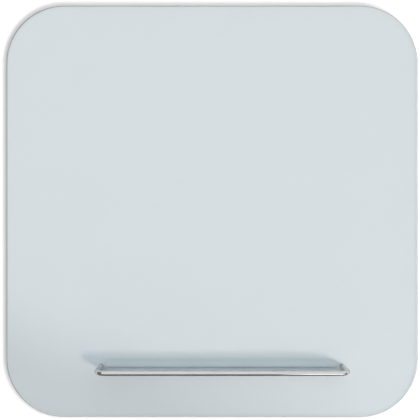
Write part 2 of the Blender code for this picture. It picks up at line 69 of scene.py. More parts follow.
camera_data = bpy.data.cameras.new("camera")
camera_data.sensor_width = SENSOR
camera_data.lens = SENSOR * CAMERA_DISTANCE / VIEW_WIDTH
camera_data.shift_x = (VIEW_MIDDLE[0] - CAMERA_PLACE[0]) / VIEW_WIDTH
camera_data.shift_y = (VIEW_MIDDLE[1] - CAMERA_PLACE[1]) / VIEW_WIDTH
camera_data.clip_start = 0.02
camera = bpy.data.objects.new("camera", camera_data)
camera.location = (CAMERA_PLACE[0], GLASS_FRONT_Y - CAMERA_DISTANCE, CAMERA_PLACE[1])
camera.rotation_euler = (math.pi / 2, 0, 0)
bpy.context.scene.collection.objects.link(camera)
bpy.context.scene.camera = camera
print("lens %.1f mm, shift %.3f, %.3f" % (camera_data.lens, camera_data.shift_x, camera_data.shift_y))

# %% [markdown]
# ## Helpers for pieces
# Each piece ends as a plain mesh whose object sits at the origin. `dress` gives it a finish, puts it on the
# body that carries it and hides the CAD nodes it stands for. Smooth shading with edges above an angle
# kept sharp gives rounds a clean highlight and flats a crisp edge.

# %% Helpers for pieces
SHARP_ANGLE = math.radians(32)


def new_object(name, data):
    """Puts a mesh or a lamp in the scene under that name."""
    made = bpy.data.objects.new(name, data)
    bpy.context.scene.collection.objects.link(made)
    return made


def from_bmesh(name, work):
    """Merges a bmesh's doubles, turns its faces outwards and makes an object of it."""
    bmesh.ops.remove_doubles(work, verts=work.verts, dist=0.001 * MM)
    bmesh.ops.recalc_face_normals(work, faces=work.faces)
    mesh = bpy.data.meshes.new(name)
    work.to_mesh(mesh)
    work.free()
    return new_object(name, mesh)


def smooth(piece, angle=SHARP_ANGLE):
    """Smooth shading, with edges above the angle kept sharp."""
    mesh = piece.data
    mesh.polygons.foreach_set("use_smooth", [True] * len(mesh.polygons))
    mesh.set_sharp_from_angle(angle=angle)
    return piece


def apply_modifiers(piece):
    """Replaces a piece's mesh by what its modifiers make of it."""
    graph = bpy.context.evaluated_depsgraph_get()
    mesh = bpy.data.meshes.new_from_object(piece.evaluated_get(graph))
    piece.modifiers.clear()
    piece.data = mesh
    mesh.name = piece.name
    return piece


def modify(piece, kind, **settings):
    """Applies one modifier to a piece, with its settings given."""
    modifier = piece.modifiers.new(kind, kind)
    for name, value in settings.items():
        setattr(modifier, name, value)
    return apply_modifiers(piece)


def dress(piece, material, body, slot, *nodes):
    """Gives a finished piece its material and its body, and hides the CAD nodes it stands for. Its slot is
    not used.
    """
    if not piece.data.materials:
        piece.data.materials.append(material)
    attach(piece, body)
    if nodes:
        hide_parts(*nodes)
    print(piece.name, len(piece.data.polygons), "faces on", body)


def arc(middle, radius, first, last, steps):
    """Points (a, b) on an arc, with angles in radians."""
    points = []
    for step in range(steps + 1):
        angle = first + (last - first) * step / steps
        points.append((middle[0] + radius * math.cos(angle), middle[1] + radius * math.sin(angle)))
    return points


def skin(work, rings):
    """Joins rings of points by quads, and closes both ends by a face."""
    loops = [[work.verts.new(point) for point in ring] for ring in rings]
    for near, far in zip(loops, loops[1:]):
        for here in range(len(near)):
            after = (here + 1) % len(near)
            work.faces.new((near[here], near[after], far[after], far[here]))
    work.faces.new(loops[0])
    work.faces.new(loops[-1][::-1])


def skinned(name, rings):
    """An object made of rings of points."""
    work = bmesh.new()
    skin(work, rings)
    return from_bmesh(name, work)


def box_middle(name):
    """The middle of a CAD node's box."""
    low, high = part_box(name)
    return (low + high) / 2


print("edges stay sharp above", round(math.degrees(SHARP_ANGLE)), "degrees")

# %% [markdown]
# ## Helpers for materials
# A material is a Principled shader whose colour, roughness and height come from small procedural effects.
# Effects that several finishes share are node groups, each built once: `fine_lines` for the marks that a
# drawing die or a brush leaves along a metal, `mottle` for soft clouds of handling and cleaning, and
# `grain` for the pitted skin of rubber and moulded plastic.

# %% Helpers for materials
def join(start, end):
    """Links an output socket to an input socket of the same tree."""
    start.id_data.links.new(start, end)


def feed(value, socket):
    """Gives an input another socket's value, a colour or a number."""
    if isinstance(value, bpy.types.NodeSocket):
        join(value, socket)
    elif socket.type == "RGBA":
        socket.default_value = (*value, 1)
    else:
        socket.default_value = value


def principled(tree):
    """A material tree's Principled shader."""
    return tree.nodes["Principled BSDF"]


def new_material(name, base, roughness, metallic=0.0, more={}):
    """A material with one Principled shader, and more of its inputs given where they matter."""
    made = bpy.data.materials.new(name)
    made.use_nodes = True
    inputs = {"Base Color": base, "Roughness": roughness, "Metallic": metallic, **more}
    for key, value in inputs.items():
        feed(value, principled(made.node_tree).inputs[key])
    return made


def new_group(kind, name, inputs, outputs):
    """An empty node group with named sockets, returned with its input and output nodes."""
    tree = bpy.data.node_groups.new(name, kind)
    for title, data, value in inputs:
        socket = tree.interface.new_socket(title, in_out="INPUT", socket_type="NodeSocket" + data)
        if value is not None:
            socket.default_value = value
    for title, data in outputs:
        tree.interface.new_socket(title, in_out="OUTPUT", socket_type="NodeSocket" + data)
    return tree, tree.nodes.new("NodeGroupInput"), tree.nodes.new("NodeGroupOutput")


def node(tree, kind, inputs={}, **settings):
    """A new node with some of its inputs and settings given. An input has a name or a number."""
    made = tree.nodes.new(kind)
    for name, value in settings.items():
        setattr(made, name, value)
    for key, value in inputs.items():
        feed(value, made.inputs[key])
    return made


def maths(tree, operation, first, second):
    """The result of a Math node on two sockets or numbers."""
    return node(tree, "ShaderNodeMath", {0: first, 1: second}, operation=operation).outputs[0]


def ranged(value, low, high, from_low=0.0, from_high=1.0):
    """Maps a value's range to another one, and returns the new socket."""
    inputs = {"Value": value, "From Min": from_low, "From Max": from_high, "To Min": low, "To Max": high}
    return node(value.id_data, "ShaderNodeMapRange", inputs).outputs["Result"]


def blended(mask, first, second):
    """A colour that goes from the first to the second as a mask goes from 0 to 1."""
    inputs = {"Factor": mask, "A": first, "B": second}
    return node(mask.id_data, "ShaderNodeMix", inputs, data_type="RGBA").outputs["Result"]


def either(share, first, second):
    """Two shaders mixed by a share: the first at 0 and the second at 1."""
    return node(share.id_data, "ShaderNodeMixShader", {0: share, 1: first, 2: second}).outputs[0]


def show(material, surface):
    """Makes a shader the material's surface."""
    join(surface, material.node_tree.nodes["Material Output"].inputs["Surface"])


def effect(material, group, *sizes):
    """Puts a shared effect in a material on Object coordinates, and returns its mask."""
    tree = material.node_tree
    where = node(tree, "ShaderNodeTexCoord").outputs["Object"]
    inputs = dict(enumerate((where, *sizes)))
    return node(tree, "ShaderNodeGroup", inputs, node_tree=group).outputs["Mask"]


def colour_by(mask, first, second):
    """Lets a mask take the base colour from the first to the second."""
    join(blended(mask, first, second), principled(mask.id_data).inputs["Base Color"])


def roughness_by(mask, low, high):
    """Lets a mask take the roughness from low to high."""
    join(ranged(mask, low, high), principled(mask.id_data).inputs["Roughness"])


def bump_by(height, distance, strength=1.0):
    """Feeds a height into the shader's normal."""
    inputs = {"Strength": strength, "Distance": distance, "Height": height}
    made = node(height.id_data, "ShaderNodeBump", inputs)
    join(made.outputs["Normal"], principled(height.id_data).inputs["Normal"])


print("materials measure their effects in metres, in Object coordinates")

# %% [markdown]
# The three shared effects. Each one takes a Vector and a few sizes, and puts out a mask between 0 and 1.
# Sizes are lengths in metres, so that the same group fits a 3 mm screw and a metre of glass.

# %% Shared effects
def new_effect(name, *sizes):
    """An empty effect with a Vector, its sizes and a Mask."""
    inputs = [("Vector", "Vector", None)] + [(title, "Float", size) for title, size in sizes]
    return new_group("ShaderNodeTree", name, inputs, [("Mask", "Float")])


def build_fine_lines():
    """Streaks along X: long in one direction, very narrow across it."""
    tree, start, end = new_effect("fine_lines", ("Length", 0.05), ("Width", 0.0004))
    along, across = (maths(tree, "DIVIDE", 1.0, start.outputs[size]) for size in ("Length", "Width"))
    scale = node(tree, "ShaderNodeCombineXYZ", {"X": along, "Y": across, "Z": across})
    inputs = {0: start.outputs["Vector"], 1: scale.outputs[0]}
    stretch = node(tree, "ShaderNodeVectorMath", inputs, operation="MULTIPLY")
    inputs = {"Vector": stretch.outputs[0], "Scale": 1.0, "Detail": 3.0}
    noise = node(tree, "ShaderNodeTexNoise", inputs)
    join(ranged(noise.outputs["Fac"], 0, 1, 0.3, 0.7), end.inputs["Mask"])
    return tree


def build_mottle():
    """Soft clouds of one size."""
    tree, start, end = new_effect("mottle", ("Size", 0.1))
    scale = maths(tree, "DIVIDE", 1.0, start.outputs["Size"])
    inputs = {"Vector": start.outputs["Vector"], "Scale": scale, "Detail": 4.0}
    noise = node(tree, "ShaderNodeTexNoise", {**inputs, "Roughness": 0.55, "Distortion": 0.4})
    join(ranged(noise.outputs["Fac"], 0, 1, 0.3, 0.7), end.inputs["Mask"])
    return tree


def build_grain():
    """Small pits of one size, as on rubber, foam and moulded plastic."""
    tree, start, end = new_effect("grain", ("Size", 0.0005))
    scale = maths(tree, "DIVIDE", 1.0, start.outputs["Size"])
    inputs = {"Vector": start.outputs["Vector"], "Scale": scale}
    cells = node(tree, "ShaderNodeTexVoronoi", inputs, feature="SMOOTH_F1")
    join(ranged(cells.outputs["Distance"], 0, 1, 0.05, 0.75), end.inputs["Mask"])
    return tree


FINE_LINES = build_fine_lines()
MOTTLE = build_mottle()
GRAIN = build_grain()
print("shared effects:", FINE_LINES.name, MOTTLE.name, GRAIN.name)

# %% [markdown]
# ## The glass
# The panel is toughened glass, 4 mm thick, with its edge ground flat and a small polished arris on both
# rims. It is built from rings: each is the same rounded outline, a little further out from the wall and
# a little smaller where the arris turns in. The corners are cut fine enough to show no facets.

# %% Build the glass panel
glass_low, glass_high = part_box("glass_panel")
BOARD_SIZE = glass_high.x - glass_low.x
BOARD_MIDDLE = Vector(((glass_low.x + glass_high.x) / 2, 0, (glass_low.z + glass_high.z) / 2))
CORNER_RADIUS = 140 * MM
ARRIS = 0.8 * MM
OUTLINE_STEPS = 48
ARRIS_STEPS = 4


def rounded_ring(half_width, half_height, radius, steps, y, middle):
    """Points round a rectangle with round corners, at one distance from the wall."""
    ring = []
    for corner, (side, level) in enumerate(((1, 1), (-1, 1), (-1, -1), (1, -1))):
        first = corner * math.pi / 2
        centre = (side * (half_width - radius), level * (half_height - radius))
        for a, b in arc(centre, radius, first, first + math.pi / 2, steps):
            ring.append((middle.x + a, y, middle.z + b))
    return ring


def glass_rings():
    """The outline at each step of the back arris, the flat edge and the front arris."""
    turns = arc((0, 0), 1, 0, math.pi / 2, ARRIS_STEPS)
    back = [(glass_high.y - ARRIS * (1 - rise), ARRIS * (1 - run)) for run, rise in turns[::-1]]
    front = [(glass_low.y + ARRIS * (1 - rise), ARRIS * (1 - run)) for run, rise in turns]
    rings = []
    for y, inset in back + front:
        half = BOARD_SIZE / 2 - inset
        rings.append(rounded_ring(half, half, CORNER_RADIUS - inset, OUTLINE_STEPS, y, BOARD_MIDDLE))
    return rings


glass_panel = smooth(skinned("glass_panel_clear", glass_rings()), math.radians(60))
for face in glass_panel.data.polygons:
    face.use_smooth = len(face.vertices) == 4
print("glass", round(BOARD_SIZE, 3), "m square,", len(glass_panel.data.vertices), "points")

# %% [markdown]
# The faces are almost perfectly smooth, with a trace of cleaning haze and the long, faint waves that
# toughening rollers leave. The edge is greener and less polished. Light has to reach the white film
# behind, which a refracting sheet would leave dark, so rays that only test for shadow pass straight
# through the faces, tinted as the glass would tint them. The edge stops most of what meets it, so it
# casts a shadow on the wall.

# %% Glass materials
GLASS_TINT = (0.97, 0.992, 0.99)
EDGE_TINT = (0.72, 0.86, 0.83)
EDGE_PASSES = (0.40, 0.46, 0.46)
GLASS_IOR = 1.52
HAZE_SIZE = 0.12
ROLLER_WAVE = (0.9, 0.25)
FACE_NORMAL = 0.98


def glass_material(name, tint, passes, low_roughness, high_roughness, wave):
    """Glass that refracts for what is seen through it and lets light through to what lies behind it."""
    clear_glass = {"IOR": GLASS_IOR, "Transmission Weight": 1.0}
    made = new_material(name, tint, low_roughness, more=clear_glass)
    tree = made.node_tree
    roughness_by(effect(made, MOTTLE, HAZE_SIZE), low_roughness, high_roughness)
    bump_by(effect(made, FINE_LINES, *ROLLER_WAVE), wave, 0.5)
    clear = node(tree, "ShaderNodeBsdfTransparent", {"Color": passes})
    rays = node(tree, "ShaderNodeLightPath").outputs
    soft = maths(tree, "MAXIMUM", rays["Is Shadow Ray"], rays["Is Diffuse Ray"])
    show(made, either(soft, principled(tree).outputs[0], clear.outputs[0]))
    return made


GLASS_FACE = glass_material("toughened_glass", GLASS_TINT, GLASS_TINT, 0.0, 0.03, 0.02 * MM)
GLASS_EDGE = glass_material("ground_glass_edge", EDGE_TINT, EDGE_PASSES, 0.10, 0.26, 0.01 * MM)
glass_panel.data.materials.append(GLASS_FACE)
glass_panel.data.materials.append(GLASS_EDGE)
for face in glass_panel.data.polygons:
    face.material_index = 0 if abs(face.normal.y) > FACE_NORMAL else 1
dress(glass_panel, GLASS_FACE, "board", "glass", "glass_panel")

# %% [markdown]
# ## Film and steel behind the glass
# The white film is what one sees as the board's colour. Its CAD node is already right, so it only gets a
# matt white with the faintest cloudiness of the adhesive. The steel sheet is hot-dip galvanised, whose
# zinc freezes in large crystals. Voronoi cells have that look: each crystal has its own brightness, and a
# soft second layer breaks their borders.

# %% Finish the film and the steel sheet
def give(material, *names):
    """Puts one material on CAD nodes."""
    for name in names:
        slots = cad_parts[name].data.materials
        slots.clear()
        slots.append(material)
    print(material.name, "on", ", ".join(names))


FILM_WHITE = (0.682, 0.715, 0.738)
FILM_SHADE = (0.668, 0.704, 0.727)
WHITE_FILM = new_material("white_film", FILM_WHITE, 0.55)
colour_by(effect(WHITE_FILM, MOTTLE, 0.16), FILM_WHITE, FILM_SHADE)
bump_by(effect(WHITE_FILM, GRAIN, 0.4 * MM), 0.002 * MM)
give(WHITE_FILM, "white_film")

GALVANISED = new_material("galvanised_steel", (0.46, 0.49, 0.52), 0.42, 1.0)
tree = GALVANISED.node_tree
where = node(tree, "ShaderNodeTexCoord").outputs["Object"]
crystals = node(tree, "ShaderNodeTexVoronoi", {"Vector": where, "Scale": 70, "Randomness": 0.9})
spread = node(tree, "ShaderNodeSeparateColor", {0: crystals.outputs["Color"]})
colour_by(spread.outputs["Red"], (0.36, 0.385, 0.41), (0.56, 0.59, 0.62))
roughness_by(spread.outputs["Green"], 0.34, 0.52)
bump_by(effect(GALVANISED, MOTTLE, 3 * MM), 0.02 * MM)
give(GALVANISED, "steel_sheet")

# %% [markdown]
# ## Rails, tape and bumpers
# The hook rails are one aluminium extrusion, used the right way up on the wall and upside down on the
# board. Drawing the metal through a die leaves very fine lines along it, and anodising makes it satin.
# The section is right in the CAD nodes, so the finish does the rest. The foam tape shows open cells at
# its cut edge.

# %% Finish the rails and the tape
ANODISED = new_material("anodised_aluminium", (0.86, 0.87, 0.88), 0.3, 1.0)
die_lines = effect(ANODISED, FINE_LINES, 0.35, 1.2 * MM)
colour_by(die_lines, (0.82, 0.83, 0.845), (0.90, 0.905, 0.91))
roughness_by(effect(ANODISED, MOTTLE, 0.05), 0.29, 0.38)
bump_by(die_lines, 0.003 * MM)
give(ANODISED, "upper_wall_rail", "lower_wall_rail", "upper_board_rail", "lower_board_rail")

FOAM = new_material("foam_tape", (0.035, 0.035, 0.038), 0.9)
cells = effect(FOAM, GRAIN, 0.35 * MM)
colour_by(cells, (0.012, 0.012, 0.013), (0.06, 0.06, 0.063))
bump_by(cells, 0.12 * MM)
give(FOAM, "upper_rail_tape", "lower_rail_tape")

# %% [markdown]
# The bumpers and the fasteners repeat, so Geometry Nodes place them. One tree, `repeat_on_points`, stands
# a copy of an object on every point of a mesh. The points are the places that the CAD nodes have. The
# tree ends in Realize Instances and Set Material, and its result is taken as a plain mesh, because an
# export would drop instances.

# %% A tree that repeats an object on points
def new_shape_tree(name, *inputs):
    """An empty Geometry Nodes tree that takes a mesh, some values and a Material."""
    sockets = [("Geometry", "Geometry", None), *inputs, ("Material", "Material", None)]
    return new_group("GeometryNodeTree", name, sockets, [("Geometry", "Geometry")])


def end_shape_tree(start, shape, end):
    """Makes the instances real, gives them the tree's Material and puts them out."""
    real = node(shape.id_data, "GeometryNodeRealizeInstances", {"Geometry": shape})
    inputs = {"Geometry": real.outputs["Geometry"], "Material": start.outputs["Material"]}
    paint = node(shape.id_data, "GeometryNodeSetMaterial", inputs)
    join(paint.outputs["Geometry"], end.inputs["Geometry"])


def build_repeat_tree():
    """Geometry Nodes: one copy of an object on each point of the mesh, with one material."""
    tree, start, end = new_shape_tree("repeat_on_points", ("Pattern", "Object", None))
    pattern = node(tree, "GeometryNodeObjectInfo", {"Object": start.outputs["Pattern"]})
    pattern.transform_space = "ORIGINAL"
    inputs = {"Points": start.outputs["Geometry"], "Instance": pattern.outputs["Geometry"]}
    stand = node(tree, "GeometryNodeInstanceOnPoints", inputs)
    end_shape_tree(start, stand.outputs["Instances"], end)
    return tree


def run_tree(piece, tree, values):
    """Runs a Geometry Nodes tree on an object and keeps the result as its mesh."""
    modifier = piece.modifiers.new(tree.name, "NODES")
    modifier.node_group = tree
    for item in tree.interface.items_tree:
        if item.in_out == "INPUT" and item.name in values:
            modifier[item.identifier] = values[item.name]
    return apply_modifiers(piece)


REPEAT = build_repeat_tree()


def repeated(name, pattern, places, material):
    """One piece made of a pattern object on each place; the pattern itself is removed."""
    points = bpy.data.meshes.new(name)
    points.from_pydata([tuple(place) for place in places], [], [])
    piece = new_object(name, points)
    run_tree(piece, REPEAT, {"Pattern": pattern, "Material": material})
    bpy.data.objects.remove(pattern)
    return piece


def angles_round(sides):
    """Evenly spaced angles, as many as there are sides."""
    return [math.tau * side / sides for side in range(sides)]


def turned(name, profile, sides, lobes=None):
    """A body turned about Y from (radius, y) points. Lobes may change the radius with the angle."""
    angles = angles_round(sides)
    rings = []
    for radius, y in profile:
        reach = [radius * (lobes(angle, y) if lobes else 1.0) for angle in angles]
        rings.append([(r * math.cos(angle), y, r * math.sin(angle)) for r, angle in zip(reach, angles)])
    return skinned(name, rings)


def front_places(names, back=0.0):
    """The front end of each CAD node's axis, moved back towards the wall by a length."""
    return [(box_middle(name).x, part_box(name)[0].y + back, box_middle(name).z) for name in names]


print("tree ready:", REPEAT.name)

# %% [markdown]
# A bumper is a moulded rubber foot: a wide base on the steel sheet, a slight taper, and a rounded rim
# where it meets the wall, with a shallow dish in the middle that the moulding leaves.

# %% Bumpers
RUBBER = new_material("moulded_rubber", (0.02, 0.02, 0.022), 0.7)
skin_pits = effect(RUBBER, GRAIN, 0.6 * MM)
colour_by(effect(RUBBER, MOTTLE, 0.012), (0.016, 0.016, 0.018), (0.034, 0.034, 0.035))
roughness_by(skin_pits, 0.58, 0.82)
bump_by(skin_pits, 0.02 * MM)

EDGE_BREAK = 0.3 * MM
ROUND_SIDES = 64
BUMPER_FACE = 10.5 * MM
BUMPER_RIM = 1.5 * MM
BUMPER_FLAT = 3.0 * MM
BUMPER_DISH = 0.4 * MM
DISH_FLOOR = 5 * MM
DISH_EDGE = 6.5 * MM
bumper_low, bumper_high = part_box("bumper_upper_left")
half = (bumper_high.y - bumper_low.y) / 2
base = (bumper_high.x - bumper_low.x) / 2
profile = [(0, half - BUMPER_DISH), (DISH_FLOOR, half - BUMPER_DISH), (DISH_EDGE, half)]
profile += arc((BUMPER_FACE - BUMPER_RIM, half - BUMPER_RIM), BUMPER_RIM, math.pi / 2, 0, 8)
profile += [(base - EDGE_BREAK, BUMPER_FLAT - half), (base, BUMPER_FLAT - half - EDGE_BREAK)]
profile += [(base, EDGE_BREAK - half), (base - EDGE_BREAK, -half), (0, -half)]
bumper = smooth(turned("bumper_pattern", profile, ROUND_SIDES))
BUMPERS = ["bumper_upper_left", "bumper_upper_right", "bumper_lower_left", "bumper_lower_right"]
bumpers = repeated("wall_bumpers", bumper, [box_middle(name) for name in BUMPERS], RUBBER)
dress(bumpers, RUBBER, "board", "rubber", *BUMPERS)

# %% [markdown]
# ## Screws and plugs
# A wall screw has a domed head with a cross recess and a coarse thread, and it sits in a ribbed nylon
# plug whose four fins spread in the wall. The thread is a helix: its radius is a rule of the angle and
# the length, so the turned body takes it as lobes.

# %% Wall screws
ZINC = new_material("bright_zinc", (0.66, 0.68, 0.70), 0.26, 1.0)
passivated = effect(ZINC, MOTTLE, 4 * MM)
colour_by(passivated, (0.62, 0.65, 0.70), (0.72, 0.71, 0.66))
roughness_by(passivated, 0.29, 0.40)

HEAD_RADIUS = 4.6 * MM
HEAD_HEIGHT = 3.2 * MM
HEAD_RIM_SHARE = 0.45
SHANK_CORE = 1.55 * MM
SHANK_RADIUS = 2.25 * MM
SHANK_STEPS = 300
THREAD_PITCH = 1.8 * MM
THREAD_STEEPNESS = 3.2
THREAD_FADE = 3
SCREW_LENGTH = 35 * MM
SCREW_POINT = 7 * MM
SCREW_TIP_SHARE = 0.06
RECESS_LENGTH = 4.6 * MM
RECESS_WIDTH = 1.05 * MM
RECESS_DEPTH = 2.0 * MM
RECESS_ABOVE = 1.0 * MM
RECESS_TAPER = 0.45


def thread_crest(angle, along):
    """How far round the thread a place is: 1 on the crest and 0 in the root."""
    phase = (along / THREAD_PITCH - angle / math.tau) % 1.0
    return max(0.0, 1 - abs(phase - 0.5) * THREAD_STEEPNESS)


def to_point(along):
    """1 along the shank, falling to 0 at the screw's point."""
    return min(1.0, (SCREW_LENGTH - along) / SCREW_POINT)


def screw_body():
    """The head and the threaded shank as one turned body, from the head's top to the point."""
    rim = HEAD_HEIGHT * HEAD_RIM_SHARE
    dome = arc((0, 0), 1, math.pi / 2, 0, 10)
    profile = [(HEAD_RADIUS * run, -rim - (HEAD_HEIGHT - rim) * rise) for run, rise in dome]
    profile += [(HEAD_RADIUS, -EDGE_BREAK), (HEAD_RADIUS - EDGE_BREAK, 0)]
    for step in range(SHANK_STEPS + 1):
        along = SCREW_LENGTH * step / SHANK_STEPS
        profile.append((SHANK_CORE * max(SCREW_TIP_SHARE, to_point(along)), along))

    def lobes(angle, y):
        if y <= 0:
            return 1.0
        crest = thread_crest(angle, y) * min(1.0, to_point(y) * THREAD_FADE)
        return 1 + (SHANK_RADIUS / SHANK_CORE - 1) * crest

    return turned("screw_pattern", profile, 28, lobes)


def cut_recess(piece, top):
    """Cuts a tapered cross recess into a head whose top is at that y."""
    work = bmesh.new()
    for turn in (0, math.pi / 2):
        for vertex in bmesh.ops.create_cube(work, size=1.0)["verts"]:
            x, y, z = vertex.co
            y_cut = top + (RECESS_DEPTH if y > 0 else -RECESS_ABOVE)
            taper = RECESS_TAPER if y > 0 else 1.0
            place = Vector((x * RECESS_LENGTH * taper, y_cut, z * RECESS_WIDTH))
            vertex.co = Matrix.Rotation(turn, 3, "Y") @ place
    tool = from_bmesh("recess", work)
    modify(piece, "BOOLEAN", operation="DIFFERENCE", use_self=True, object=tool)
    bpy.data.objects.remove(tool)
    return piece


screw = smooth(cut_recess(screw_body(), -HEAD_HEIGHT))
SCREWS = ["wall_screw_%s_%d" % (level, index) for level in ("upper", "lower") for index in range(1, 5)]
wall_screws = repeated("wall_screws", screw, front_places(SCREWS, HEAD_HEIGHT), ZINC)
dress(wall_screws, ZINC, "wall_mount", "zinc_screw", *SCREWS)

# %% [markdown]
# The plug is a sleeve with a thin collar and saw-tooth ribs. Four slits part its fins, which the lobes
# draw as narrow grooves that go deeper towards the tip.

# %% Wall plugs
NYLON = new_material("grey_nylon", (0.30, 0.32, 0.34), 0.5)
moulding = effect(NYLON, GRAIN, 0.5 * MM)
colour_by(moulding, (0.26, 0.28, 0.30), (0.34, 0.36, 0.38))
roughness_by(moulding, 0.42, 0.6)
bump_by(moulding, 0.01 * MM)

plug_low, plug_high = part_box("wall_plug_upper_1")
PLUG_RADIUS = (plug_high.x - plug_low.x) / 2
PLUG_LENGTH = plug_high.y - plug_low.y
PLUG_LIP = 1.2 * MM
PLUG_STEP = 1.3 * MM
PLUG_COLLAR = 6 * MM
PLUG_BORE = 2.55 * MM
PLUG_FLOOR = 1.5 * MM
PLUG_RIB = 0.6 * MM
PLUG_TIP = 0.6 * MM
PLUG_TIP_INSET = 0.5 * MM
RIB_PITCH = 3.2 * MM
RIB_FOOT = 0.2 * MM
RIB_CREST = 0.8
RIB_BACK = 0.95
SLIT_HALF_WIDTH = 0.12
SLIT_REACH = 0.86
SLIT_END = 1.6 * MM


def plug_body():
    """The ribbed sleeve from its mouth to its closed tip."""
    floor = PLUG_LENGTH - PLUG_FLOOR
    root = PLUG_RADIUS - PLUG_RIB
    profile = [(0, floor), (PLUG_BORE, floor), (PLUG_BORE, 0), (PLUG_RADIUS - EDGE_BREAK, 0)]
    profile += [(PLUG_RADIUS, EDGE_BREAK), (PLUG_RADIUS, PLUG_LIP)]
    profile += [(root, PLUG_STEP), (root, PLUG_COLLAR)]
    along = PLUG_COLLAR
    while along < PLUG_LENGTH - RIB_PITCH:
        profile.append((root, along + RIB_FOOT))
        profile.append((PLUG_RADIUS, along + RIB_PITCH * RIB_CREST))
        profile.append((root, along + RIB_PITCH * RIB_BACK))
        along += RIB_PITCH
    tip = root - PLUG_TIP_INSET
    profile += [(root, PLUG_LENGTH - PLUG_TIP), (tip, PLUG_LENGTH), (0, PLUG_LENGTH)]

    def lobes(angle, y):
        slit = abs(math.remainder(angle * 4, math.tau)) / math.pi
        inside = PLUG_COLLAR < y < PLUG_LENGTH - SLIT_END
        return SLIT_REACH if inside and slit < SLIT_HALF_WIDTH else 1.0

    return turned("plug_pattern", profile, ROUND_SIDES, lobes)


plug = smooth(plug_body())
PLUGS = [name.replace("screw", "plug") for name in SCREWS]
wall_plugs = repeated("wall_plugs", plug, front_places(PLUGS), NYLON)
dress(wall_plugs, NYLON, "wall_mount", "nylon_plug", *PLUGS)

# %% [markdown]
# ## Levelling screws
# Two M3 set screws go down through the upper board rail and stand on the wall rail's lip. Each one has
# a fine thread, a small dog point and a hexagon socket for the key that levels the board. They turn on
# their own, so each one is a piece of its own on its own body.

# %% Levelling screws
BLACK_OXIDE = new_material("black_oxide", (0.03, 0.03, 0.033), 0.34, 1.0)
oiled = effect(BLACK_OXIDE, MOTTLE, 1.5 * MM)
colour_by(oiled, (0.02, 0.02, 0.022), (0.06, 0.058, 0.056))
roughness_by(oiled, 0.29, 0.45)

M3_PITCH = 0.5 * MM
M3_RADIUS = 1.5 * MM
M3_ROOT = 1.22 * MM
M3_POINT = 1.0 * MM
M3_POINT_LENGTH = 2.7 * MM
M3_POINT_BREAK = 0.15 * MM
M3_SOCKET = 0.87 * MM
M3_SOCKET_DEPTH = 1.8 * MM
M3_SIDES = 48
M3_STEPS = 56


def hexagon(angle):
    """How far out a hexagon socket reaches at an angle."""
    to_flat = (angle + math.pi / 6) % (math.pi / 3) - math.pi / 6
    return M3_SOCKET * math.cos(math.pi / 6) / math.cos(to_flat)


def levelling_screw(name):
    """A threaded set screw on the axis of its CAD node, upright along Z."""
    low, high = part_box(name)
    centre = (low + high) / 2
    foot = low.z + M3_POINT_LENGTH

    def ring(z, reach):
        across = [(reach(angle), angle) for angle in angles_round(M3_SIDES)]
        return [(centre.x + r * math.cos(angle), centre.y + r * math.sin(angle), z) for r, angle in across]

    def thread(z):
        ends = max(0.0, min(1.0, (z - foot) / M3_PITCH, (high.z - z) / M3_PITCH))

        def reach(angle):
            phase = ((z - foot) / M3_PITCH - angle / math.tau) % 1.0
            return M3_ROOT + (M3_RADIUS - M3_ROOT) * (1 - abs(phase - 0.5) * 2) * ends

        return reach

    rings = [ring(low.z, lambda angle: M3_POINT - M3_POINT_BREAK)]
    rings += [ring(z, lambda angle: M3_POINT) for z in (low.z + M3_POINT_BREAK, foot)]
    for step in range(M3_STEPS + 1):
        z = foot + (high.z - foot) * step / M3_STEPS
        rings.append(ring(z, thread(z)))
    rings += [ring(high.z - depth, hexagon) for depth in (0, M3_SOCKET_DEPTH)]
    made = smooth(skinned(name + "_threaded", rings), math.radians(40))
    dress(made, BLACK_OXIDE, name, "levelling_screw", name)


levelling_screw("levelling_screw_left")
levelling_screw("levelling_screw_right")

# %% [markdown]
# ## The tray's tube
# The tube is the piece that catches the eye: chromed and bent to a flat U. Its path is a chain of points
# with the two bends cut fine. Geometry Nodes turn it into a curve and sweep a circle along it, and
# Solidify gives the wall its thickness, so that the ends are open, as cut tube is.

# %% Sweep the tube
TUBE_RADIUS = 6 * MM
TUBE_WALL = 1.1 * MM
BEND_RADIUS = 23 * MM
BEND_CUTS = 28
TUBE_SIDES = 72
tube_low, tube_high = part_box("tray_tube")
tray_middle = (tube_low.x + tube_high.x) / 2
tube_axis_z = (tube_low.z + tube_high.z) / 2
arm_reach = (tube_high.x - tube_low.x) / 2 - TUBE_RADIUS
bar_y = tube_low.y + TUBE_RADIUS


def build_tube_tree():
    """Geometry Nodes: a circle of a radius and a number of sides swept along a chain of edges."""
    sizes = (("Radius", "Float", TUBE_RADIUS), ("Sides", "Int", TUBE_SIDES))
    tree, start, end = new_shape_tree("sweep_tube", *sizes)
    path = node(tree, "GeometryNodeMeshToCurve", {"Mesh": start.outputs["Geometry"]})
    inputs = {"Radius": start.outputs["Radius"], "Resolution": start.outputs["Sides"]}
    circle = node(tree, "GeometryNodeCurvePrimitiveCircle", inputs, mode="RADIUS")
    inputs = {"Curve": path.outputs["Curve"], "Profile Curve": circle.outputs["Curve"]}
    sweep = node(tree, "GeometryNodeCurveToMesh", inputs)
    even = node(tree, "GeometryNodeSetShadeSmooth", {"Geometry": sweep.outputs["Mesh"]})
    end_shape_tree(start, even.outputs["Geometry"], end)
    return tree


